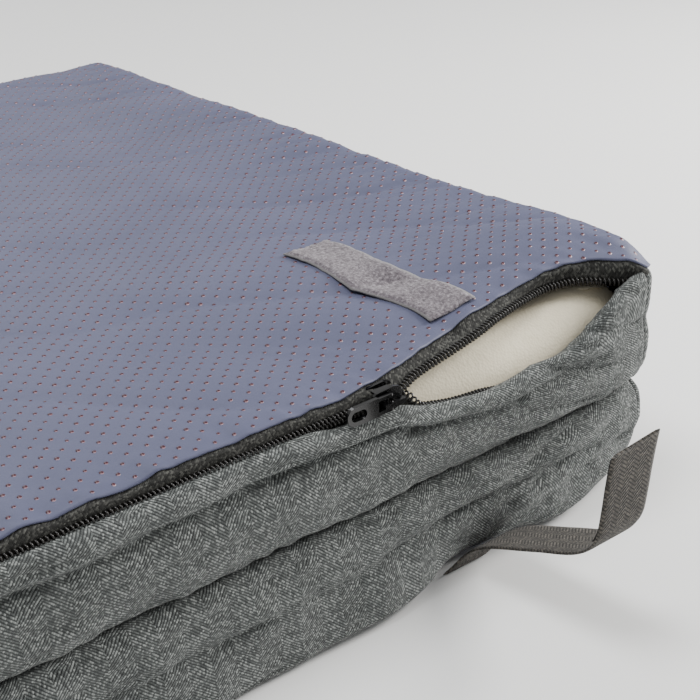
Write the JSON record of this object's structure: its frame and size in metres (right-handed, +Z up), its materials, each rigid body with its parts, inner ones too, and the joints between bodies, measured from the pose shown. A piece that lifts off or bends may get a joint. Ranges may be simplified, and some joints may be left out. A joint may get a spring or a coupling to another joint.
{
  "type": "folding kneeling pad",
  "caption": "Folding foam kneeling pad, stored folded, with a dotted non-slip side, zipped grey covers and webbing closure straps.",
  "frame": {"origin": "on the ground, under the centre of the folded pads", "axes": "+Z up, +X along the zips to the right seen from the zip side, +Y from the zip side to the hinge"},
  "size_m": [0.5, 0.571, 0.1062],
  "materials": {
    "foam": "open-cell cream foam, matte",
    "grip_fabric": "lavender-grey coated fabric with small raised translucent red dots",
    "melange_fabric": "grey melange linen-look weave",
    "zip_tape": "woven charcoal polyester",
    "zip_coil": "black nylon coil",
    "zip_metal": "black lacquered die-cast, satin",
    "webbing": "taupe-grey herringbone webbing",
    "hook_tape": "hook side of hook-and-loop tape",
    "loop_tape": "fuzzy loop side of hook-and-loop tape with woven selvedges"
  },
  "bodies": {
    "lower_pad": {"lower_foam": "foam", "lower_grip_panel": "grip_fabric", "lower_knee_panel": "melange_fabric", "lower_front_band": "melange_fabric", "lower_right_band": "melange_fabric", "lower_back_band": "melange_fabric", "lower_left_band": "melange_fabric", "lower_zip_tape_panel": "zip_tape", "lower_zip_tape_band": "zip_tape", "lower_zip_chain": "zip_coil", "hinge_strip": "melange_fabric"},
    "upper_pad": {"upper_foam": "foam", "upper_grip_panel": "grip_fabric", "upper_knee_panel": "melange_fabric", "upper_front_band": "melange_fabric", "upper_right_band": "melange_fabric", "upper_back_band": "melange_fabric", "upper_left_band": "melange_fabric", "upper_zip_tape_panel": "zip_tape", "upper_zip_tape_band": "zip_tape", "upper_zip_chain": "zip_coil", "upper_zip_tape_mouth": "zip_tape", "upper_coil_panel": "zip_coil", "upper_coil_band": "zip_coil", "right_loop_patch": "loop_tape", "left_loop_patch": "loop_tape"},
    "lower_slider": {"lower_zip_slider": "zip_metal"},
    "lower_puller": {"lower_zip_puller": "zip_metal"},
    "upper_slider": {"upper_zip_slider": "zip_metal"},
    "upper_puller": {"upper_zip_puller": "zip_metal"},
    "right_strap": {"right_strap": "webbing", "right_hook": "hook_tape"},
    "left_strap": {"left_strap": "webbing", "left_hook": "hook_tape"}
  },
  "joints": [
    {"name": "fold", "type": "hinge", "parent": "lower_pad", "child": "upper_pad", "pos_m": [0, 0.2469, 0.0523], "axis": [-1, 0, 0], "range_deg": [0, 180], "deforming": ["hinge_strip"]},
    {"name": "upper_zip", "type": "slide", "parent": "upper_pad", "child": "upper_slider", "axis": [1, 0, 0], "range_m": [-0.3223, 0.1373], "deforming": ["upper_zip_chain", "upper_coil_panel", "upper_coil_band", "upper_zip_tape_mouth", "upper_zip_tape_band"]},
    {"name": "upper_pull", "type": "hinge", "parent": "upper_slider", "child": "upper_puller", "pos_m": [0.093, -0.2506, 0.0981], "axis": [0, 0, 1], "range_deg": [0, 180]},
    {"name": "lower_zip", "type": "slide", "parent": "lower_pad", "child": "lower_slider", "axis": [1, 0, 0], "range_m": [0, 0.4596], "deforming": ["lower_zip_chain"]},
    {"name": "lower_pull", "type": "hinge", "parent": "lower_slider", "child": "lower_puller", "pos_m": [-0.2303, -0.2506, 0.0065], "axis": [0, 0, -1], "range_deg": [0, 180]},
    {"name": "right_strap_root", "type": "hinge", "parent": "lower_pad", "child": "right_strap", "pos_m": [0.145, -0.2462, 0.00075], "axis": [1, 0, 0], "range_deg": [0, 30]},
    {"name": "left_strap_root", "type": "hinge", "parent": "lower_pad", "child": "left_strap", "pos_m": [-0.145, -0.2462, 0.00075], "axis": [1, 0, 0], "range_deg": [0, 30]}
  ]
}
